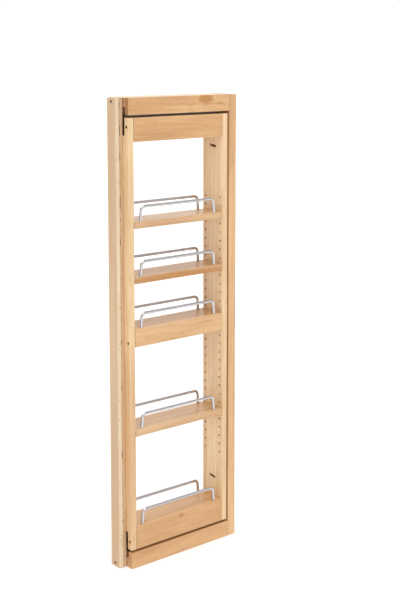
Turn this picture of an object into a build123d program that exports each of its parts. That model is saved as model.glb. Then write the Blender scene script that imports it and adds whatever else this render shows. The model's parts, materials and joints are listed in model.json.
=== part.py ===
"""Narrow pull-out filler organiser for a kitchen wall run, in millimetres.

An open wooden rack with five shelves slides forward out of a fixed outer frame. Two pairs of
full-extension ball-bearing slides carry it, one pair on a web under the frame's top board and one
pair on a web over its bottom board. Three of the shelves stand on pins and lift off.

X is the width, Y the depth and Z the height. The front is at -Y. The origin is the middle of the
footprint on the surface that the frame stands on, and the rack is modelled fully closed.
"""

import os

from build123d import *

# ---------------------------------------------------------------- driving dimensions
frame_height = 990.6
frame_depth = 282.6
frame_width = 68.3
frame_rail_height = 35.0
frame_board_thickness = 19.05
strip_thickness = 12.7

rack_width = 66.7
rack_stile_thickness = 13.5
rack_board_thickness = 12.7
rack_bottom_z = 40.4
rack_top_z = 950.4
rack_back_gap = 4.45
top_rail_height = 49.2
bottom_rail_height = 50.6

cleat_width = 30.0
cleat_thickness = 18.0
cleat_floor_gap = 0.6
cleat_hole_radius = 3.0
cleat_hole_inset = 8.0
closed_gap = 0.6

fixed_shelf_top_z = 515.2
apron_height = 38.0
loose_shelf_thickness = 14.3
loose_shelf_end_gap = 0.8
loose_shelf_rows = {"top_shelf": 28, "second_shelf": 22, "fourth_shelf": 5}

pin_row_first_z = 197.8
pin_row_pitch = 19.05
pin_row_count = 31
pin_hole_radius = 2.5
pin_hole_depth = 9.0
pin_radius = 2.45
pin_length = 16.0
pin_column_x = 24.3
pin_seat_gap = 0.2
pin_end_gap = 0.2
pin_pocket_side_gap = 0.35
pin_pocket_end_gap = 1.5

gallery_rod_radius = 3.175
gallery_height = 30.0
gallery_half_span = 97.0
gallery_post_splay = 2.5
gallery_post_straight = 1.0
gallery_post_bend_radius = 20.0
gallery_x = 27.5
gallery_bend_radius = 9.0
gallery_socket_depth = 8.0
gallery_socket_clearance = 0.05
gallery_socket_extra_depth = 0.3

slide_length = 250.0
slide_front_inset = 4.0
slide_half_height = 22.5
slide_thickness = 12.7
slide_steel = 1.3
slide_end_gap = 1.0
ball_radius = 1.8
ball_pitch = 12.0
ball_count = 10
cage_length = 118.0
cage_front_inset = 66.0
cage_thickness = 0.8
cage_width = 5.4
cage_pocket_gap = 0.15
slide_slot_length = 9.0
slide_slot_radius = 2.2

screw_radius = 1.75
screw_head_radius = 3.3
screw_head_height = 2.2
screw_clearance = 0.06
screw_tip_length = 2.5
screw_point_radius = 0.3
screw_hole_extra_depth = 0.5
screw_recess_depth = 1.4
screw_recess_size = (0.9, 3.6)

driver_slot_length = 21.0
driver_slot_height = 5.5
driver_slot_tilt = 8.0
driver_slot_heights = (135.3, 880.0)

edge_round = 0.8
cut_margin = 1.0

# ---------------------------------------------------------------- derived positions
overall_depth = frame_depth + closed_gap + cleat_thickness
frame_back_y = overall_depth / 2
frame_front_y = frame_back_y - frame_depth
back_stile_front_y = frame_back_y - frame_board_thickness
rack_front_y = frame_front_y - closed_gap
rack_back_y = back_stile_front_y - rack_back_gap
bay_front_y = rack_front_y + rack_stile_thickness
bay_back_y = rack_back_y - rack_stile_thickness
rack_middle_y = (rack_front_y + rack_back_y) / 2

strip_inner_x = frame_width / 2 - strip_thickness
rack_x = rack_width / 2
rack_inner_x = rack_x - rack_board_thickness
web_x = rack_inner_x - slide_thickness
screw_line_x = rack_x - rack_board_thickness / 2

top_box_floor_z = rack_top_z - top_rail_height + rack_board_thickness
bottom_shelf_top_z = rack_bottom_z + bottom_rail_height
bottom_shelf_under_z = bottom_shelf_top_z - rack_board_thickness
top_slide_z = top_box_floor_z + slide_end_gap + slide_half_height
bottom_slide_z = bottom_shelf_under_z - slide_end_gap - slide_half_height
slide_front_y = frame_front_y + slide_front_inset
slide_back_y = slide_front_y + slide_length

SIDES = {"near": 1, "far": -1}
SLIDE_HEIGHTS = {"top": top_slide_z, "bottom": bottom_slide_z}
# Screws through the fixed members start from both sides of the web, so they are staggered.
FIXED_SCREW_INSETS = {1: (45.0, 205.0), -1: (62.0, 222.0)}
MOVING_SCREW_INSETS = (50.0, 200.0)
FIXED_SLOT_INSETS = (20.0, 110.0, 150.0, 238.0)
MIDDLE_SLOT_INSETS = (25.0, 125.0, 225.0)
MOVING_SLOT_INSETS = (20.0, 95.0, 155.0, 230.0)

# Across one slide, u runs from the web's face towards the rack's board and v up from its middle.
FIXED_BASE_U = (0.0, slide_steel)
FIXED_LIP_U = (9.6, 10.8)
MIDDLE_BASE_U = (2.2, 3.4)
MIDDLE_FLANGE_END_U = 10.4
MIDDLE_HALF_V = 17.0
MOVING_BASE_U = (11.4, slide_thickness)
MOVING_FLANGE_START_U = 4.4
MOVING_HALF_V = 11.6
MIDDLE_STEEL = 1.2
LIP_DROP = 1.6
OUTER_BALL_UV = (6.3, (slide_half_height - slide_steel + MIDDLE_HALF_V) / 2)
INNER_BALL_UV = (7.3, (MIDDLE_HALF_V - MIDDLE_STEEL + MOVING_HALF_V) / 2)

parts = {}


# ---------------------------------------------------------------- helpers
def block(x_range, y_range, z_range):
    """A plain rectangular block between the given limits."""
    size = [abs(high - low) for low, high in (x_range, y_range, z_range)]
    centre = [(high + low) / 2 for low, high in (x_range, y_range, z_range)]
    return Pos(*centre) * Box(*size)


def board(x_range, y_range, z_range):
    """A planed board with every edge eased."""
    blank = block(x_range, y_range, z_range)
    return fillet(blank.edges(), edge_round)


def rod_along_y(radius, start_y, end_y, x, z):
    """A round bar or hole from start_y to end_y."""
    length = abs(end_y - start_y)
    return Pos(x, (start_y + end_y) / 2, z) * Rot(90, 0, 0) * Cylinder(radius, length)


def screw(length, extra=0.0):
    """A flat-head wood screw, its head's face at the origin and its point down -Z."""
    head = Pos(0, 0, -screw_head_height / 2) * Cone(
        screw_radius + extra, screw_head_radius + extra, screw_head_height
    )
    shank_length = length - screw_head_height - screw_tip_length
    shank_middle = -screw_head_height - shank_length / 2
    shank = Pos(0, 0, shank_middle) * Cylinder(screw_radius + extra, shank_length)
    tip = Pos(0, 0, -length + screw_tip_length / 2) * Cone(
        screw_point_radius + extra, screw_radius + extra, screw_tip_length
    )
    return head + shank + tip


def driven_screw(length):
    """A screw with a cross recess in its head."""
    blade = Pos(0, 0, -screw_recess_depth / 2) * Box(*screw_recess_size, screw_recess_depth)
    return screw(length) - blade - Rot(0, 0, 90) * blade


def screw_hole(length, sink=0.0):
    """The countersunk hole for a screw whose head is set below the surface by sink."""
    hole = screw(length + screw_hole_extra_depth, screw_clearance)
    if sink > 0:
        hole = hole + Pos(0, 0, sink / 2) * Cylinder(screw_head_radius + screw_clearance, sink)
    return hole


def keep(name, solids):
    """Store one sub-part: a single solid or a list of separate ones."""
    parts[name] = solids if isinstance(solids, list) else [solids]


def cut_all(target, tools):
    """Cut every tool out of the target and return one clean solid."""
    result = target - tools
    return result.solid()


def side_range(side, low, high):
    """An X range between two distances from the middle plane, on the near or far side."""
    return tuple(sorted((side * low, side * high)))


# ---------------------------------------------------------------- screw placements
def facing_front(x, y, z):
    """A screw driven along +Y with its head's face at y."""
    return Pos(x, y, z) * Rot(90, 0, 0)


def facing_back(x, y, z):
    """A screw driven along -Y with its head's face at y."""
    return Pos(x, y, z) * Rot(-90, 0, 0)


def facing_side(side, x, y, z):
    """A screw driven towards the web from the given side, its head's face at x."""
    return Pos(x, y, z) * Rot(0, 90 * side, 0)


rail_screw_heights = (rack_bottom_z + 17.6, fixed_shelf_top_z - 28.0, rack_top_z - 18.7)
rail_screw_spots = [(side * screw_line_x, z) for side in SIDES.values() for z in rail_screw_heights]
rail_screw_length = 32.0
rail_screw_sink = 1.5
rail_screws_front = [facing_front(x, rack_front_y + rail_screw_sink, z) for x, z in rail_screw_spots]
rail_screws_back = [facing_back(x, rack_back_y - rail_screw_sink, z) for x, z in rail_screw_spots]

cleat_screw_heights = (170.0, 390.0, 600.0, 830.0)
cleat_screw_length = 25.0
cleat_screws = [facing_back(0, bay_front_y, z) for z in cleat_screw_heights]

frame_screw_spots = [
    (x, z)
    for x in (-13.0, 13.0)
    for z in (frame_board_thickness / 2, frame_height - frame_board_thickness / 2)
]
web_screw_spots = [(0.0, bottom_slide_z), (0.0, top_slide_z)]
frame_screw_length = 45.0
frame_screw_sink = 1.0
frame_screws = [
    facing_back(x, frame_back_y - frame_screw_sink, z) for x, z in frame_screw_spots + web_screw_spots
]

slide_screw_length = 11.0


# ---------------------------------------------------------------- fixed outer frame
def build_outer_frame():
    """The back stile, the top and bottom rails and the two webs that carry the slides."""
    y_range = (frame_front_y, back_stile_front_y)
    half = frame_width / 2
    back_holes = [place * screw_hole(frame_screw_length, frame_screw_sink) for place in frame_screws]

    stile = board((-half, half), (back_stile_front_y, frame_back_y), (0, frame_height))
    keep("outer_back_stile", cut_all(stile, back_holes))

    rails = {
        "bottom": ((0, frame_rail_height), (0, frame_board_thickness)),
        "top": (
            (frame_height - frame_rail_height, frame_height),
            (frame_height - frame_board_thickness, frame_height),
        ),
    }
    for level, (strip_z, board_z) in rails.items():
        middle = board((-strip_inner_x, strip_inner_x), y_range, board_z)
        keep(f"outer_{level}_board", cut_all(middle, back_holes))
        for side_name, side in SIDES.items():
            strip = board(side_range(side, strip_inner_x, half), y_range, strip_z)
            keep(f"outer_{level}_{side_name}_strip", strip)
    keep("outer_back_screws", [place * driven_screw(frame_screw_length) for place in frame_screws])

    webs = {
        "bottom": (frame_board_thickness, bottom_slide_z + slide_half_height),
        "top": (top_slide_z - slide_half_height, frame_height - frame_board_thickness),
    }
    for level, z_range in webs.items():
        web = board((-web_x, web_x), (slide_front_y, back_stile_front_y), z_range)
        slide_holes = [
            place * screw_hole(slide_screw_length) for place in fixed_screw_places(SLIDE_HEIGHTS[level])
        ]
        keep(f"{level}_slide_web", cut_all(web, back_holes + slide_holes))


# ---------------------------------------------------------------- ball-bearing slides
def slide_block(side, slide_z, u_range, v_range, y_range):
    """A block placed by its limits across one slide."""
    x_range = side_range(side, web_x + u_range[0], web_x + u_range[1])
    z_range = (slide_z + v_range[0], slide_z + v_range[1])
    return block(x_range, y_range, z_range)


def fixed_screw_places(slide_z):
    """The screws that hold both fixed members of one level to the web."""
    places = []
    for side in SIDES.values():
        head_x = side * (web_x + slide_steel)
        for inset in FIXED_SCREW_INSETS[side]:
            places.append(facing_side(side, head_x, slide_front_y + inset, slide_z))
    return places


def moving_screw_places(side, slide_z):
    """The screws that hold one moving member to the rack's board."""
    head_x = side * (web_x + MOVING_BASE_U[0])
    return [facing_side(-side, head_x, slide_front_y + inset, slide_z) for inset in MOVING_SCREW_INSETS]


def channel(side, slide_z, base_u, flange_u, half_v, steel):
    """A folded steel channel: a base plate with a flange along each long edge."""
    y_range = (slide_front_y, slide_back_y)
    shape = slide_block(side, slide_z, base_u, (-half_v, half_v), y_range)
    shape += slide_block(side, slide_z, flange_u, (half_v - steel, half_v), y_range)
    shape += slide_block(side, slide_z, flange_u, (-half_v, steel - half_v), y_range)
    return shape


def slots_through_base(side, slide_z, u_middle, insets):
    """Oblong holes through a member's base plate."""
    tool = extrude(SlotOverall(slide_slot_length, slide_slot_radius * 2), 2.0, both=True)
    x = side * (web_x + u_middle)
    return [Pos(x, slide_front_y + inset, slide_z) * Rot(90, 0, 90) * tool for inset in insets]


def build_slides():
    """Four three-member slides. Each member has its own node, and balls and cages are grouped."""
    groups = ("outer_ball_cages", "outer_balls", "inner_ball_cages", "inner_balls")
    grouped = {name: [] for name in groups}
    fixed_screws = []
    moving_screws = []
    for level, slide_z in SLIDE_HEIGHTS.items():
        fixed_places = fixed_screw_places(slide_z)
        fixed_screws += [place * driven_screw(slide_screw_length) for place in fixed_places]
        fixed_holes = [place * screw_hole(slide_screw_length) for place in fixed_places]
        for side_name, side in SIDES.items():
            name = f"{level}_{side_name}_slide"
            moving_places = moving_screw_places(side, slide_z)
            moving_screws += [place * driven_screw(slide_screw_length) for place in moving_places]

            fixed = channel(
                side, slide_z, FIXED_BASE_U, (0.0, FIXED_LIP_U[1]), slide_half_height, slide_steel
            )
            lip_top = slide_half_height - slide_steel
            for v_range in ((lip_top - LIP_DROP, lip_top), (-lip_top, LIP_DROP - lip_top)):
                fixed += slide_block(side, slide_z, FIXED_LIP_U, v_range, (slide_front_y, slide_back_y))
            slots = slots_through_base(side, slide_z, slide_steel / 2, FIXED_SLOT_INSETS)
            keep(f"{name}_fixed", cut_all(fixed, fixed_holes + slots))

            flange_u = (MIDDLE_BASE_U[0], MIDDLE_FLANGE_END_U)
            middle = channel(side, slide_z, MIDDLE_BASE_U, flange_u, MIDDLE_HALF_V, MIDDLE_STEEL)
            slots = slots_through_base(side, slide_z, sum(MIDDLE_BASE_U) / 2, MIDDLE_SLOT_INSETS)
            keep(f"{name}_middle", cut_all(middle, slots))

            flange_u = (MOVING_FLANGE_START_U, slide_thickness)
            moving = channel(side, slide_z, MOVING_BASE_U, flange_u, MOVING_HALF_V, MIDDLE_STEEL)
            moving_holes = [place * screw_hole(slide_screw_length) for place in moving_places]
            slots = slots_through_base(side, slide_z, sum(MOVING_BASE_U) / 2, MOVING_SLOT_INSETS)
            keep(f"{name}_moving", cut_all(moving, moving_holes + slots))

            for kind, (ball_u, ball_v) in (("outer", OUTER_BALL_UV), ("inner", INNER_BALL_UV)):
                for v in (ball_v, -ball_v):
                    cage, balls = ball_row(side, slide_z, ball_u, v)
                    grouped[f"{kind}_ball_cages"].append(cage)
                    grouped[f"{kind}_balls"] += balls
    for name, solids in grouped.items():
        keep(name, solids)
    keep("slide_web_screws", fixed_screws)
    keep("slide_board_screws", moving_screws)


def ball_row(side, slide_z, ball_u, ball_v):
    """One strip of a ball cage and the balls that it spaces."""
    y_start = slide_front_y + cage_front_inset
    u_range = (ball_u - cage_width / 2, ball_u + cage_width / 2)
    v_range = (ball_v - cage_thickness / 2, ball_v + cage_thickness / 2)
    strip = slide_block(side, slide_z, u_range, v_range, (y_start, y_start + cage_length))
    first_ball_y = y_start + (cage_length - ball_pitch * (ball_count - 1)) / 2
    x = side * (web_x + ball_u)
    spots = [Pos(x, first_ball_y + ball_pitch * i, slide_z + ball_v) for i in range(ball_count)]
    pockets = [spot * Cylinder(ball_radius + cage_pocket_gap, 2 * ball_radius) for spot in spots]
    return cut_all(strip, pockets), [(spot * Sphere(ball_radius)).solid() for spot in spots]


# ---------------------------------------------------------------- pull-out rack
def pin_holes(face_y, direction):
    """The two columns of blind shelf-pin holes that open on one stile's inner face."""
    mouth_y = face_y - direction * cut_margin
    end_y = face_y + direction * pin_hole_depth
    holes = []
    for row in range(pin_row_count):
        z = pin_row_first_z + row * pin_row_pitch
        for side in SIDES.values():
            holes.append(rod_along_y(pin_hole_radius, mouth_y, end_y, side * pin_column_x, z))
    return holes


def stile_notches(y_range):
    """The openings at a stile's ends that the webs and slides run through."""
    x_range = (-rack_inner_x, rack_inner_x)
    y_cut = (y_range[0] - cut_margin, y_range[1] + cut_margin)
    lower = block(x_range, y_cut, (rack_bottom_z - cut_margin, bottom_shelf_under_z))
    upper = block(x_range, y_cut, (top_box_floor_z, rack_top_z + cut_margin))
    return [lower, upper]


def driver_slots():
    """Oblong slots through the back stile."""
    tool = extrude(SlotOverall(driver_slot_length, driver_slot_height), rack_stile_thickness, both=True)
    middle_y = rack_back_y - rack_stile_thickness / 2
    return [
        Pos(0, middle_y, z) * Rot(0, driver_slot_tilt, 0) * Rot(90, 0, 0) * tool
        for z in driver_slot_heights
    ]


def build_rack_frame():
    """The two stiles, the top and bottom rail boxes and the fixed shelf with its aprons."""
    front_y = (rack_front_y, bay_front_y)
    back_y = (bay_back_y, rack_back_y)
    bay_y = (bay_front_y, bay_back_y)
    front_holes = [place * screw_hole(rail_screw_length, rail_screw_sink) for place in rail_screws_front]
    back_holes = [place * screw_hole(rail_screw_length, rail_screw_sink) for place in rail_screws_back]
    cleat_holes = [place * screw_hole(cleat_screw_length) for place in cleat_screws]

    front = board((-rack_x, rack_x), front_y, (rack_bottom_z, rack_top_z))
    front_cuts = stile_notches(front_y) + pin_holes(bay_front_y, -1) + front_holes + cleat_holes
    keep("front_stile", cut_all(front, front_cuts))
    back = board((-rack_x, rack_x), back_y, (rack_bottom_z, rack_top_z))
    back_cuts = stile_notches(back_y) + pin_holes(bay_back_y, 1) + back_holes + driver_slots()
    keep("back_stile", cut_all(back, back_cuts))

    rails = {
        "top_rail": ((rack_top_z - top_rail_height, rack_top_z), top_slide_z),
        "bottom_rail": ((rack_bottom_z, bottom_shelf_top_z), bottom_slide_z),
    }
    for name, (z_range, slide_z) in rails.items():
        for side_name, side in SIDES.items():
            rail = board(side_range(side, rack_inner_x, rack_x), bay_y, z_range)
            slide_places = moving_screw_places(side, slide_z)
            holes = front_holes + back_holes
            holes += [place * screw_hole(slide_screw_length) for place in slide_places]
            if name == "bottom_rail":
                holes += gallery_sockets(bottom_shelf_top_z)
            keep(f"{side_name}_{name}", cut_all(rail, holes))
    for side_name, side in SIDES.items():
        z_range = (fixed_shelf_top_z - apron_height, fixed_shelf_top_z)
        apron = board(side_range(side, rack_inner_x, rack_x), bay_y, z_range)
        holes = front_holes + back_holes + gallery_sockets(fixed_shelf_top_z)
        keep(f"{side_name}_fixed_shelf_apron", cut_all(apron, holes))

    inner_x = (-rack_inner_x, rack_inner_x)
    keep("top_rail_board", board(inner_x, bay_y, (rack_top_z - top_rail_height, top_box_floor_z)))
    keep("bottom_shelf", board(inner_x, bay_y, (bottom_shelf_under_z, bottom_shelf_top_z)))
    fixed_shelf_z = (fixed_shelf_top_z - rack_board_thickness, fixed_shelf_top_z)
    keep("fixed_shelf", board(inner_x, bay_y, fixed_shelf_z))
    keep("front_stile_screws", [place * driven_screw(rail_screw_length) for place in rail_screws_front])
    keep("back_stile_screws", [place * driven_screw(rail_screw_length) for place in rail_screws_back])


def build_cleat():
    """The plywood cleat on the rack's front, which the finished filler panel is screwed to."""
    y_range = (rack_front_y - cleat_thickness, rack_front_y)
    z_range = (cleat_floor_gap, frame_height - cleat_floor_gap)
    blank = board((-cleat_width / 2, cleat_width / 2), y_range, z_range)
    panel_holes = [
        rod_along_y(cleat_hole_radius, y_range[0] - cut_margin, y_range[1] + cut_margin, 0, z)
        for z in (cleat_hole_inset, frame_height - cleat_hole_inset)
    ]
    screw_holes = [place * screw_hole(cleat_screw_length) for place in cleat_screws]
    keep("cleat", cut_all(blank, panel_holes + screw_holes))
    keep("cleat_screws", [place * driven_screw(cleat_screw_length) for place in cleat_screws])


# ---------------------------------------------------------------- gallery rails
def gallery_rail(side, shelf_top_z):
    """A chrome rod bent into a long low staple, its posts splayed, that stands in two sockets."""
    foot_z = shelf_top_z - gallery_socket_depth
    splay_z = shelf_top_z + gallery_post_straight
    bar_z = shelf_top_z + gallery_height
    front_foot_y = rack_middle_y - gallery_half_span
    back_foot_y = rack_middle_y + gallery_half_span
    front_bar_y = front_foot_y + gallery_post_splay
    back_bar_y = back_foot_y - gallery_post_splay
    x = side * gallery_x
    corners = [
        (x, front_foot_y, foot_z),
        (x, front_foot_y, splay_z),
        (x, front_bar_y, bar_z),
        (x, back_bar_y, bar_z),
        (x, back_foot_y, splay_z),
        (x, back_foot_y, foot_z),
    ]
    radii = [gallery_post_bend_radius, gallery_bend_radius, gallery_bend_radius, gallery_post_bend_radius]
    path = FilletPolyline(*corners, radius=radii)
    section = Plane(origin=corners[0], z_dir=(0, 0, 1)) * Circle(gallery_rod_radius)
    return sweep(section, path=path).solid()


def gallery_sockets(shelf_top_z):
    """The four drilled sockets for the rails of one shelf."""
    depth = gallery_socket_depth + gallery_socket_extra_depth
    middle_z = shelf_top_z + (cut_margin - depth) / 2
    tool = Cylinder(gallery_rod_radius + gallery_socket_clearance, depth + cut_margin)
    return [
        Pos(side * gallery_x, rack_middle_y + end * gallery_half_span, middle_z) * tool
        for side in SIDES.values()
        for end in (-1, 1)
    ]


def keep_gallery_rails(shelf_name, shelf_top_z):
    """Store the near and far rail of one shelf."""
    for side_name, side in SIDES.items():
        keep(f"{shelf_name}_{side_name}_gallery", gallery_rail(side, shelf_top_z))


# ---------------------------------------------------------------- loose shelves
def loose_shelf(row_z):
    """A shelf board with a pocket under each corner that hides its pin."""
    under_z = row_z - loose_shelf_thickness / 2
    top_z = under_z + loose_shelf_thickness
    y_range = (bay_front_y + loose_shelf_end_gap, bay_back_y - loose_shelf_end_gap)
    blank = board((-rack_x, rack_x), y_range, (under_z, top_z))
    pocket_half_width = pin_radius + pin_pocket_side_gap
    pocket_reach = pin_length - pin_hole_depth + pin_pocket_end_gap
    pocket_z = (under_z - cut_margin, row_z + pin_radius + pin_seat_gap)
    pockets = []
    for side in SIDES.values():
        x_range = (side * pin_column_x - pocket_half_width, side * pin_column_x + pocket_half_width)
        pockets.append(block(x_range, (bay_front_y, bay_front_y + pocket_reach), pocket_z))
        pockets.append(block(x_range, (bay_back_y - pocket_reach, bay_back_y), pocket_z))
    return cut_all(blank, pockets + gallery_sockets(top_z)), top_z


def build_loose_shelves():
    """The three shelves that stand on pins, their gallery rails and all their pins."""
    pins = []
    for name, row in loose_shelf_rows.items():
        row_z = pin_row_first_z + row * pin_row_pitch
        shelf, top_z = loose_shelf(row_z)
        keep(name, shelf)
        keep_gallery_rails(name, top_z)
        for side in SIDES.values():
            x = side * pin_column_x
            front_y = bay_front_y - pin_hole_depth + pin_end_gap
            back_y = bay_back_y + pin_hole_depth - pin_end_gap
            pins.append(rod_along_y(pin_radius, front_y, front_y + pin_length, x, row_z))
            pins.append(rod_along_y(pin_radius, back_y, back_y - pin_length, x, row_z))
    keep("shelf_pins", pins)


def write_parts():
    """One STEP file per sub-part."""
    os.makedirs("parts", exist_ok=True)
    for name, solids in parts.items():
        shape = solids[0] if len(solids) == 1 else Compound(children=solids)
        export_step(shape, f"parts/{name}.step")


build_outer_frame()
build_slides()
build_rack_frame()
build_cleat()
keep_gallery_rails("fixed_shelf", fixed_shelf_top_z)
keep_gallery_rails("bottom_shelf", bottom_shelf_top_z)
build_loose_shelves()
write_parts()
print(f"{len(parts)} sub-parts, overall depth {overall_depth:.1f} mm")
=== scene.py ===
"""Looks for the pull-out filler organiser.

Timber, plywood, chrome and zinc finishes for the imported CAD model, with the floor, lights and camera.
"""

import json
import math

import bpy
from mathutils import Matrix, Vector


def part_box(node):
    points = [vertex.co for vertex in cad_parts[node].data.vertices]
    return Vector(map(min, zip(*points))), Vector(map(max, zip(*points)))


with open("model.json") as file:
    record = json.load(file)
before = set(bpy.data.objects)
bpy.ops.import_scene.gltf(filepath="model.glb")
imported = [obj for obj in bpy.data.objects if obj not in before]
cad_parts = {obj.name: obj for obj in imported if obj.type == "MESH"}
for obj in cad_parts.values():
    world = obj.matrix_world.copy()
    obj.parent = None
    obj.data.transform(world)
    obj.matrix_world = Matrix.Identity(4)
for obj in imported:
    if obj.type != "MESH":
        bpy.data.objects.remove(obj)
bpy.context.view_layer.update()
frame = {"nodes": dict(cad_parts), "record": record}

SLOT_OF = {part["node"]: part["material_slot"] for part in frame["record"]["subparts"]}

# ---------------------------------------------------------------- palette, in linear colours
MAPLE_LIGHT = (0.67, 0.435, 0.235)
MAPLE_MID = (0.55, 0.318, 0.152)
MAPLE_DARK = (0.42, 0.215, 0.092)
MAPLE_END = (0.33, 0.135, 0.045)
HEARTWOOD = (0.45, 0.185, 0.036)
KNOT = (0.13, 0.050, 0.017)
# Painted shade, for the grooves between butted boards and inside the cleat's holes.
PAINTED_SHADE = (0.11, 0.048, 0.018)
PLY_CREAM = (0.80, 0.67, 0.49)
PLY_BEIGE = (0.68, 0.50, 0.32)
PLY_CROSS = (0.66, 0.48, 0.30)
VENEER_LIGHT = (0.62, 0.43, 0.255)
VENEER_DARK = (0.54, 0.355, 0.20)
VOID = (0.07, 0.030, 0.010)
PAPER_DARK = (0.92, 0.92, 0.92)
PAPER_LIGHT = (0.95, 0.95, 0.95)
WHITE = (1.0, 1.0, 1.0)


# ---------------------------------------------------------------- node helpers
class Graph:
    """Short names for building one material's nodes."""

    def __init__(self, name):
        self.material = bpy.data.materials.new(name)
        self.material.use_nodes = True
        self.tree = self.material.node_tree
        self.shader = self.tree.nodes["Principled BSDF"]

    def add(self, kind, **settings):
        node = self.tree.nodes.new(kind)
        for key, value in settings.items():
            setattr(node, key, value)
        return node

    def link(self, source, target):
        self.tree.links.new(source, target)

    def put(self, socket, value):
        """A link if value is a socket, otherwise a constant."""
        if isinstance(value, bpy.types.NodeSocket):
            self.link(value, socket)
        else:
            socket.default_value = value

    def place(self):
        """Where a point is on the object, in metres."""
        return self.add("ShaderNodeTexCoord").outputs["Object"]

    def split(self, vector):
        """The X, Y and Z of a vector, by name."""
        node = self.add("ShaderNodeSeparateXYZ")
        self.link(vector, node.inputs[0])
        return node.outputs

    def facing(self, axis, low, high):
        """1 on faces that look along an axis, 0 on the others, smooth between two cosines."""
        normal = self.add("ShaderNodeNewGeometry").outputs["Normal"]
        return self.ramp(self.math("ABSOLUTE", self.split(normal)[axis]), low, high)

    def math(self, operation, a, b=0.0, clamp=False):
        node = self.add("ShaderNodeMath", operation=operation, use_clamp=clamp)
        self.put(node.inputs[0], a)
        self.put(node.inputs[1], b)
        return node.outputs[0]

    def either_side(self, value, spread):
        """A 0 to 1 value moved to lie evenly either side of zero."""
        return self.math("MULTIPLY", self.math("SUBTRACT", value, 0.5), spread)

    def ramp(self, value, low, high):
        """0 below low, 1 above high, smooth between."""
        node = self.add("ShaderNodeMapRange", interpolation_type="SMOOTHSTEP")
        self.put(node.inputs["Value"], value)
        node.inputs["From Min"].default_value = low
        node.inputs["From Max"].default_value = high
        return node.outputs["Result"]

    def fade(self, value, low, high):
        """1 below low, 0 above high, smooth between."""
        return self.math("SUBTRACT", 1.0, self.ramp(value, low, high))

    def mix(self, amount, first, second, blend="MIX"):
        node = self.add("ShaderNodeMix", data_type="RGBA", blend_type=blend)
        self.put(node.inputs["Factor"], amount)
        for socket, value in ((node.inputs[6], first), (node.inputs[7], second)):
            self.put(socket, (*value, 1.0) if isinstance(value, tuple) else value)
        return node.outputs[2]

    def stain(self, colour, mask, strength, tone):
        """The colour with a share of a tone laid over it where the mask is 1."""
        return self.mix(self.math("MULTIPLY", mask, strength), colour, tone)

    def vector(self, operation, a, b):
        node = self.add("ShaderNodeVectorMath", operation=operation)
        self.put(node.inputs[0], a)
        self.put(node.inputs[1], b)
        return node.outputs[0]

    def stretch(self, place, z_share):
        """A place whose pattern is drawn out along Z."""
        return self.vector("MULTIPLY", place, (1.0, 1.0, z_share))

    def length(self, vector):
        node = self.add("ShaderNodeVectorMath", operation="LENGTH")
        self.link(vector, node.inputs[0])
        return node.outputs["Value"]

    def noise(self, place, scale, detail=3.0, roughness=0.55, output="Fac"):
        node = self.add("ShaderNodeTexNoise")
        self.link(place, node.inputs["Vector"])
        node.inputs["Scale"].default_value = scale
        node.inputs["Detail"].default_value = detail
        node.inputs["Roughness"].default_value = roughness
        return node.outputs[output]

    def gloss(self, specular, coat, coat_roughness):
        self.shader.inputs["Specular IOR Level"].default_value = specular
        self.shader.inputs["Coat Weight"].default_value = coat
        self.shader.inputs["Coat Roughness"].default_value = coat_roughness

    def bump(self, height, strength, depth):
        node = self.add("ShaderNodeBump")
        node.inputs["Strength"].default_value = strength
        node.inputs["Distance"].default_value = depth
        self.link(height, node.inputs["Height"])
        self.link(node.outputs["Normal"], self.shader.inputs["Normal"])


# ---------------------------------------------------------------- timber
QUARTER_TURN = math.pi / 2
# The turn that lays each axis along Z.
GRAIN_TURNS = {"X": (0, -QUARTER_TURN, 0), "Y": (QUARTER_TURN, 0, 0), "Z": (0, 0, 0)}
# Boards are cut from the trunk one step apart, the first of them one step on from the start.
TRUNK_START = (0.13, 0.09, 0.0)
TRUNK_STEP = (0.037, -0.021, 0.31)
# How slowly each pattern changes along the grain, as a share of how fast it changes across it.
FIBRE_STRETCH = 0.03
MINERAL_STRETCH = 0.07
FLECK_STRETCH = 0.09
WANDER_STRETCH = 0.20
CLOUD_STRETCH = 0.25
RING_SCALE = 36.0
RING_WANDER = 0.045
END_SHARE = 0.80
# The painted shade along the joints fades out between these distances from a board's end, in metres.
JOINT_SHADE_FADE = (0.0002, 0.0012)
JOINT_SHADE_SHARE = 0.74


def grain_space(g, place, grain_axis, seed):
    """The board's own stretch of trunk, with the grain along Z."""
    turn = g.add("ShaderNodeMapping")
    g.link(place, turn.inputs["Vector"])
    turn.inputs["Rotation"].default_value = GRAIN_TURNS[grain_axis]
    cut_from = [start + step * seed for start, step in zip(TRUNK_START, TRUNK_STEP)]
    turn.inputs["Location"].default_value = cut_from
    return turn.outputs["Vector"]


def growth_lines(g, local):
    """Faint growth lines that wander about the trunk."""
    wander = g.noise(g.stretch(local, WANDER_STRETCH), 13.0, 3.0, 0.5, "Color")
    offset = g.vector("SUBTRACT", wander, (0.5, 0.5, 0.5))
    offset = g.vector("MULTIPLY", offset, (RING_WANDER, RING_WANDER, 0.0))
    bent = g.vector("ADD", g.stretch(local, FIBRE_STRETCH), offset)
    rings = g.add("ShaderNodeTexWave", wave_type="RINGS", rings_direction="Z", wave_profile="SAW")
    g.link(bent, rings.inputs["Vector"])
    rings.inputs["Scale"].default_value = RING_SCALE
    rings.inputs["Distortion"].default_value = 3.0
    rings.inputs["Detail"].default_value = 3.0
    rings.inputs["Detail Scale"].default_value = 1.6
    return g.ramp(rings.outputs["Fac"], 0.35, 1.0)


def blotch(g, place, streak, centre, size, ragged):
    """How far a point is from a centre, in units of size, with an edge that follows the grain."""
    reach = g.length(g.vector("DIVIDE", g.vector("SUBTRACT", place, centre), size))
    return g.math("ADD", reach, g.either_side(streak, ragged))


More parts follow.
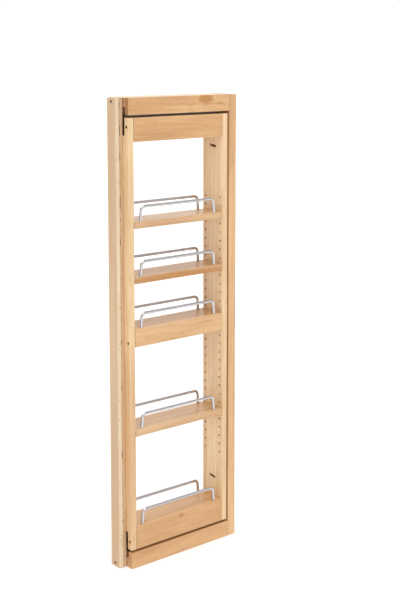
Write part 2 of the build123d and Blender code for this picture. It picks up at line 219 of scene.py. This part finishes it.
def maple_face(g, local, ring, streak, fibre):
    """The colour of a board's faces: clouds of two tones under rings, streaks, marks and flecks."""
    cloud = g.noise(g.stretch(local, CLOUD_STRETCH), 16.0, 3.0, 0.5)
    mineral = g.noise(g.stretch(local, MINERAL_STRETCH), 75.0, 3.0, 0.6)
    fleck = g.noise(g.stretch(local, FLECK_STRETCH), 400.0, 2.0, 0.5)
    colour = g.mix(g.ramp(cloud, 0.30, 0.72), MAPLE_LIGHT, MAPLE_MID)
    colour = g.stain(colour, ring, 0.20, MAPLE_DARK)
    colour = g.stain(colour, g.ramp(streak, 0.46, 0.74), 0.36, MAPLE_DARK)
    colour = g.stain(colour, g.ramp(mineral, 0.62, 0.72), 0.30, MAPLE_END)
    colour = g.stain(colour, g.ramp(fibre, 0.45, 0.75), 0.13, MAPLE_DARK)
    return g.stain(colour, g.ramp(fleck, 0.65, 0.73), 0.55, MAPLE_END)


def maple_end(g, local, ring):
    """The colour of a board's end grain, where the rings and pores are cut across."""
    pores = g.ramp(g.noise(local, 1500.0, 2.0, 0.6), 0.5, 0.7)
    return g.stain(g.stain(MAPLE_END, ring, 0.45, KNOT), pores, 0.30, KNOT)


def paint_joint_shade(g, colour, place, grain_axis, box, butted):
    """Painted shade: a thin dark line along each end of a board that butts against another, in the groove
    between the two boards.
    """
    along = g.split(place)[grain_axis]
    index = "XYZ".index(grain_axis)
    for corner, is_butted in zip(box, butted):
        if is_butted:
            distance = g.math("ABSOLUTE", g.math("SUBTRACT", along, corner[index]))
            colour = g.stain(colour, g.fade(distance, *JOINT_SHADE_FADE), JOINT_SHADE_SHARE, PAINTED_SHADE)
    return colour


def timber(name, grain_axis, seed, box, look):
    """Clear-lacquered maple, cut from its own stretch of trunk."""
    g = Graph(name)
    place = g.place()
    local = grain_space(g, place, grain_axis, seed)
    ring = growth_lines(g, local)
    fibre = g.noise(g.stretch(local, FIBRE_STRETCH), 900.0, 3.0, 0.6)
    streak = g.noise(g.stretch(local, FIBRE_STRETCH), 110.0, 4.0, 0.6)

    colour = g.mix(1.0, maple_face(g, local, ring, streak, fibre), look["tint"], "MULTIPLY")
    for centre, size, strength in look["heartwood"]:
        stain = g.fade(blotch(g, place, streak, centre, size, 2.2), 0.55, 1.1)
        colour = g.stain(colour, stain, strength, HEARTWOOD)
    for centre, size in look["knots"]:
        distance = blotch(g, place, streak, centre, size, 0.8)
        colour = g.stain(colour, g.fade(distance, 0.9, 3.6), 0.38, HEARTWOOD)
        colour = g.stain(colour, g.fade(distance, 0.45, 1.05), 0.85, KNOT)
    end = g.facing(grain_axis, 0.82, 0.95)
    colour = g.stain(colour, end, look["end_share"], maple_end(g, local, ring))
    # Painted shade in the grooves where this board butts against others.
    colour = paint_joint_shade(g, colour, place, grain_axis, box, look["butted"])

    g.link(colour, g.shader.inputs["Base Color"])
    rough = g.math("ADD", 0.34, g.math("MULTIPLY", fibre, 0.14))
    g.link(g.math("ADD", rough, g.math("MULTIPLY", end, 0.22)), g.shader.inputs["Roughness"])
    g.gloss(specular=0.42, coat=0.30, coat_roughness=0.20)
    height = g.math("ADD", g.math("MULTIPLY", fibre, 0.6), g.math("MULTIPLY", streak, 0.4))
    g.bump(height, strength=0.35, depth=0.00025)
    return g.material


# ---------------------------------------------------------------- plywood
# Where one ply gives way to the next, as shares of the board's thickness.
CREAM_END = (0.47, 0.485)
CROSS_END = (0.625, 0.64)
# The lines between and beside the plies, each as a place and a strength.
GLUE_LINES = ((0.045, 0.30), (0.478, 0.34), (0.632, 0.18), (0.955, 0.30))
GLUE_WIDTH = (0.006, 0.020)
VOID_MIDDLE = 0.56
VOID_HALF_WIDTH = 0.055
# There are more voids higher up.
VOID_RISE = 0.09


def ply_depth(g, place, low, high):
    """How far into the board's thickness a point is, 0 to 1, with plies that waver a little."""
    depth = g.math("DIVIDE", g.math("SUBTRACT", g.split(place)["Y"], low.y), high.y - low.y)
    return g.math("ADD", depth, g.either_side(g.noise(g.stretch(place, 0.3), 70.0, 3.0), 0.030))


def ply_voids(g, place, depth):
    """Slits in the crossband that swell and close again along the board."""
    height = g.split(place)["Z"]
    line = g.add("ShaderNodeCombineXYZ")
    g.link(height, line.inputs["Z"])
    opening = g.noise(line.outputs[0], 34.0, 2.0, 0.5)
    opening = g.math("ADD", opening, g.math("MULTIPLY", g.math("SUBTRACT", height, 0.5), VOID_RISE))
    half_width = g.math("MULTIPLY", g.ramp(opening, 0.50, 0.62), VOID_HALF_WIDTH)
    middle = g.math("ADD", g.either_side(g.noise(line.outputs[0], 60.0, 1.0, 0.5), 0.20), VOID_MIDDLE)
    off_middle = g.math("ABSOLUTE", g.math("SUBTRACT", depth, middle))
    return g.ramp(g.math("SUBTRACT", half_width, off_middle), 0.0, 0.018)


def ply_edge(g, place, depth, fibre, void):
    """The sawn edge: a cream ply, a darker crossband with voids and a beige ply, glued in layers."""
    end_fibre = g.noise(place, 1400.0, 2.0, 0.6)
    cream = g.mix(g.ramp(fibre, 0.35, 0.75), PLY_CREAM, PLY_BEIGE)
    beige = g.mix(g.ramp(fibre, 0.30, 0.70), PLY_BEIGE, MAPLE_MID)
    cross = g.mix(g.ramp(end_fibre, 0.40, 0.70), PLY_CROSS, MAPLE_DARK)
    edge = g.mix(g.ramp(depth, *CREAM_END), cream, cross)
    edge = g.mix(g.ramp(depth, *CROSS_END), edge, beige)
    for line_at, strength in GLUE_LINES:
        off_line = g.math("ABSOLUTE", g.math("SUBTRACT", depth, line_at))
        edge = g.stain(edge, g.fade(off_line, *GLUE_WIDTH), strength, KNOT)
    edge = g.stain(edge, void, 0.85, VOID)
    speck = g.noise(g.stretch(place, 0.4), 300.0, 2.0, 0.5)
    return g.stain(edge, g.ramp(speck, 0.66, 0.72), 0.50, KNOT)


def ply_face(g, place, fibre):
    """The face veneer, with soft clouds and a few marks."""
    cloud = g.noise(g.stretch(place, 0.12), 22.0, 3.0)
    mark = g.noise(g.stretch(place, 0.5), 60.0, 2.0)
    veneer = g.mix(g.ramp(cloud, 0.35, 0.7), VENEER_LIGHT, VENEER_DARK)
    veneer = g.stain(veneer, g.ramp(fibre, 0.5, 0.75), 0.20, MAPLE_DARK)
    return g.stain(veneer, g.ramp(mark, 0.66, 0.76), 0.40, MAPLE_END)


def plywood(name, low, high, bores):
    """Hardwood plywood with its plies stacked along Y. bores are the (x, z, radius) of holes along Y,
    painted dark inside as shade.
    """
    g = Graph(name)
    place = g.place()
    depth = ply_depth(g, place, low, high)
    fibre = g.noise(g.stretch(place, FIBRE_STRETCH), 700.0, 3.0, 0.6)
    void = ply_voids(g, place, depth)
    edge = ply_edge(g, place, depth, fibre, void)
    colour = g.mix(g.facing("Y", 0.75, 0.92), edge, ply_face(g, place, fibre))
    # Painted shade inside each hole.
    for x, z, radius in bores:
        flat = g.vector("MULTIPLY", g.vector("SUBTRACT", place, (x, 0.0, z)), (1.0, 0.0, 1.0))
        colour = g.stain(colour, g.fade(g.length(flat), radius, radius * 1.08), 0.85, PAINTED_SHADE)

    g.link(colour, g.shader.inputs["Base Color"])
    g.link(g.math("ADD", 0.42, g.math("MULTIPLY", fibre, 0.16)), g.shader.inputs["Roughness"])
    g.gloss(specular=0.38, coat=0.12, coat_roughness=0.3)
    height = g.math("SUBTRACT", g.math("MULTIPLY", fibre, 0.4), g.math("MULTIPLY", void, 0.9))
    g.bump(height, strength=0.4, depth=0.0004)
    return g.material


# ---------------------------------------------------------------- metals
PATCH_SHADE = 0.72


def metal(name, colour, roughness, brushed, mottle):
    """Plated or plain steel with fine drawing lines and a slightly uneven finish."""
    g = Graph(name)
    place = g.place()
    lines = g.noise(g.vector("MULTIPLY", place, (1.0, 0.02, 1.0)), 1800.0, 2.0, 0.6)
    patch = g.noise(place, 90.0, 3.0, 0.6)
    darker = tuple(PATCH_SHADE * channel for channel in colour)
    shade = g.stain(colour, g.ramp(patch, 0.35, 0.7), mottle, darker)
    g.link(shade, g.shader.inputs["Base Color"])
    g.shader.inputs["Metallic"].default_value = 1.0
    rough = g.math("ADD", roughness, g.either_side(lines, brushed))
    rough = g.math("ADD", rough, g.either_side(patch, 0.5 * roughness), clamp=True)
    g.link(rough, g.shader.inputs["Roughness"])
    g.bump(lines, strength=0.15, depth=0.0001)
    return g.material


METALS = {
    "chrome_rod": metal("chrome", (0.58, 0.58, 0.61), roughness=0.07, brushed=0.03, mottle=0.20),
    # The zinc's colour is darkened and browned as painted shade, to stand for the shaded gap between the
    # frame and the rack.
    "zinc_plated_steel": metal("zinc_plate", (0.25, 0.21, 0.175), roughness=0.44, brushed=0.16, mottle=0.35),
    "cage_steel": metal("cage_steel", (0.30, 0.30, 0.31), roughness=0.36, brushed=0.14, mottle=0.30),
    "ball_steel": metal("ball_steel", (0.60, 0.61, 0.63), roughness=0.08, brushed=0.02, mottle=0.05),
    "pin_steel": metal("nickel_pin", (0.50, 0.50, 0.49), roughness=0.24, brushed=0.10, mottle=0.20),
    "dark_screw": metal("black_phosphate", (0.035, 0.030, 0.026), roughness=0.50, brushed=0.12, mottle=0.40),
}


# ---------------------------------------------------------------- how the boards differ
def spot(node, along, up, side=1):
    """A point on a board's near or far face, as shares of its depth and height."""
    low, high = (Vector(corner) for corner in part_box(node))
    x = high.x if side > 0 else low.x
    return (x, low.y + along * (high.y - low.y), low.z + up * (high.z - low.z))


# Knots, each as a place and a size.
KNOTS = {
    "near_bottom_rail": [(spot("near_bottom_rail", 0.51, 0.87), (0.006, 0.0050, 0.0024))],
    "far_top_rail": [(spot("far_top_rail", 0.7, 0.4, -1), (0.006, 0.0028, 0.0020))],
}
# Darker heartwood, each as a place, a size and a strength.
HEARTWOODS = {
    "outer_top_near_strip": [
        (spot("outer_top_near_strip", 0.755, 0.70), (0.02, 0.022, 0.0125), 0.85),
        (spot("outer_top_near_strip", 0.90, 0.48), (0.02, 0.012, 0.0040), 0.45),
    ],
    "near_fixed_shelf_apron": [(spot("near_fixed_shelf_apron", 0.8, 0.7), (0.02, 0.020, 0.0040), 0.30)],
    "second_shelf": [(spot("second_shelf", 0.45, 0.1), (0.004, 0.170, 0.0140), 0.80)],
    "front_stile": [(spot("front_stile", 0.5, 0.12), (0.04, 0.016, 0.340), 0.30)],
    "back_stile": [(spot("back_stile", 0.0, 0.5, -1), (0.014, 0.020, 0.700), 0.30)],
}
# How much darker a board's end grain is than its faces, where it isn't END_SHARE.
END_SHARES = {"outer_bottom_near_strip": 0.30, "outer_bottom_board": 0.30}
# The ends of a board that butt against another board, lowest first.
BUTTED = {name: (True, True) for name in SLOT_OF if name.endswith(("_top_rail", "_bottom_rail", "_apron"))}
BUTTED.update({name: (True, True) for name in ("bottom_shelf", "fixed_shelf", "top_rail_board")})
BUTTED.update({name: (False, True) for name in SLOT_OF if name.startswith("outer_") and "strip" in name})
# How each board differs from the mean, because they come from different trees.
PALE = (1.23, 1.39, 1.53)
STRAW = (1.05, 1.01, 0.94)
WARM = (1.06, 1.00, 0.90)
HONEY = (1.02, 0.94, 0.81)
AMBER = (0.98, 0.89, 0.76)
TINTS = {
    "front_stile": PALE,
    "back_stile": PALE,
    "outer_back_stile": STRAW,
    "outer_top_near_strip": WARM,
    "outer_bottom_near_strip": WARM,
    "outer_top_far_strip": WARM,
    "outer_bottom_far_strip": STRAW,
    "outer_top_board": PALE,
    "near_top_rail": HONEY,
    "near_bottom_rail": AMBER,
    "near_fixed_shelf_apron": STRAW,
    "far_top_rail": HONEY,
    "far_bottom_rail": STRAW,
    "far_fixed_shelf_apron": WARM,
    "bottom_shelf": STRAW,
}


def board_look(node):
    """Everything that one board has of its own."""
    return {
        "tint": TINTS.get(node, WHITE),
        "butted": BUTTED.get(node, (False, False)),
        "knots": KNOTS.get(node, ()),
        "heartwood": HEARTWOODS.get(node, ()),
        "end_share": END_SHARES.get(node, END_SHARE),
    }


# ---------------------------------------------------------------- finishes on the CAD nodes
def longest_axis(node):
    """The axis that a board is longest along, which its grain follows."""
    low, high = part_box(node)
    size = Vector(high) - Vector(low)
    return "XYZ"[max(range(3), key=lambda i: size[i])]


def filler_panel_bores():
    """The cleat's two open holes, as (x, z, radius) in metres."""
    holes = next(mount for mount in frame["record"]["mounts"] if mount["name"] == "filler_panel_holes")
    x, _, middle_z = holes["pos_m"]
    radius = holes["dims"]["hole_r_mm"] / 1000
    half_spacing = holes["dims"]["spacing_y_mm"] / 2000
    return [(x, middle_z + end * half_spacing, radius) for end in (-1, 1)]


def finish_for(node, slot_name, seed):
    """The material that a CAD node gets for its slot."""
    box = [Vector(corner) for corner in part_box(node)]
    if slot_name in METALS:
        return METALS[slot_name]
    if slot_name == "plywood":
        return plywood(f"plywood_{node}", *box, filler_panel_bores())
    return timber(f"maple_{node}", longest_axis(node), seed, box, board_look(node))


def finish_nodes():
    """Give every slot of every CAD node its material."""
    for seed, (node, slot_name) in enumerate(sorted(SLOT_OF.items()), start=1):
        material = finish_for(node, slot_name, seed)
        for entry in frame["nodes"][node].material_slots:
            entry.material = material


# ---------------------------------------------------------------- floor, light and camera
FLOOR_REACH = 40.0
# Towards the bright side of the room.
BRIGHT_SIDE = (-0.70, 0.70, -0.12)

CAMERA_PLACE = (1.8604, -1.4096, 1.0915)
CAMERA_YAW = math.radians(51.35)
CAMERA_PITCH = math.radians(7.58)
CAMERA_LENS = 66.91
CAMERA_SHIFT = -0.175


def floor():
    reach = FLOOR_REACH
    corners = [(-reach, -reach, 0), (reach, -reach, 0), (reach, reach, 0), (-reach, reach, 0)]
    mesh = bpy.data.meshes.new("floor")
    mesh.from_pydata(corners, [], [(0, 1, 2, 3)])
    item = bpy.data.objects.new("floor", mesh)
    bpy.context.scene.collection.objects.link(item)
    g = Graph("floor_paper")
    g.link(g.mix(g.noise(g.place(), 60.0), PAPER_DARK, PAPER_LIGHT), g.shader.inputs["Base Color"])
    g.shader.inputs["Roughness"].default_value = 0.85
    g.shader.inputs["Specular IOR Level"].default_value = 0.2
    mesh.materials.append(g.material)


def sun(name, direction, strength, angle):
    """A soft sun that shines from the given direction."""
    data = bpy.data.lights.new(name, "SUN")
    data.energy = strength
    data.angle = math.radians(angle)
    item = bpy.data.objects.new(name, data)
    bpy.context.scene.collection.objects.link(item)
    item.rotation_mode = "QUATERNION"
    item.rotation_quaternion = Vector(direction).to_track_quat("Z", "Y")


def studio():
    """A white room, dimmest on the side where the camera stands, so that metal has something to show."""
    world = bpy.data.worlds.new("studio")
    world.use_nodes = True
    tree = world.node_tree
    background = tree.nodes["Background"]
    direction = tree.nodes.new("ShaderNodeTexCoord").outputs["Generated"]
    facing = tree.nodes.new("ShaderNodeVectorMath")
    facing.operation = "DOT_PRODUCT"
    tree.links.new(direction, facing.inputs[0])
    facing.inputs[1].default_value = BRIGHT_SIDE
    spread = tree.nodes.new("ShaderNodeMapRange")
    spread.interpolation_type = "SMOOTHSTEP"
    tree.links.new(facing.outputs["Value"], spread.inputs["Value"])
    spread.inputs["From Min"].default_value = -0.55
    spread.inputs["From Max"].default_value = 0.45
    spread.inputs["To Min"].default_value = 0.38
    spread.inputs["To Max"].default_value = 1.02
    tree.links.new(spread.outputs["Result"], background.inputs["Strength"])
    background.inputs["Color"].default_value = (*WHITE, 1.0)
    bpy.context.scene.world = world


def lights():
    sun("overhead", (0.30, -0.22, 1.0), strength=2.1, angle=55)
    sun("front_fill", (0.75, -0.90, 0.45), strength=0.75, angle=70)
    studio()


def camera():
    """In front of the near side, a little above the organiser's top, looking slightly down."""
    data = bpy.data.cameras.new("camera")
    item = bpy.data.objects.new("camera", data)
    bpy.context.scene.collection.objects.link(item)
    level = math.cos(CAMERA_PITCH)
    forward = (-math.sin(CAMERA_YAW) * level, math.cos(CAMERA_YAW) * level, -math.sin(CAMERA_PITCH))
    item.location = CAMERA_PLACE
    item.rotation_mode = "QUATERNION"
    item.rotation_quaternion = Vector(forward).to_track_quat("-Z", "Y")
    data.sensor_width = 36.0
    data.lens = CAMERA_LENS
    data.shift_y = CAMERA_SHIFT
    data.clip_start = 0.05
    data.clip_end = 100.0
    bpy.context.scene.camera = item


finish_nodes()
floor()
lights()
camera()
bpy.context.scene.view_settings.view_transform = "Standard"
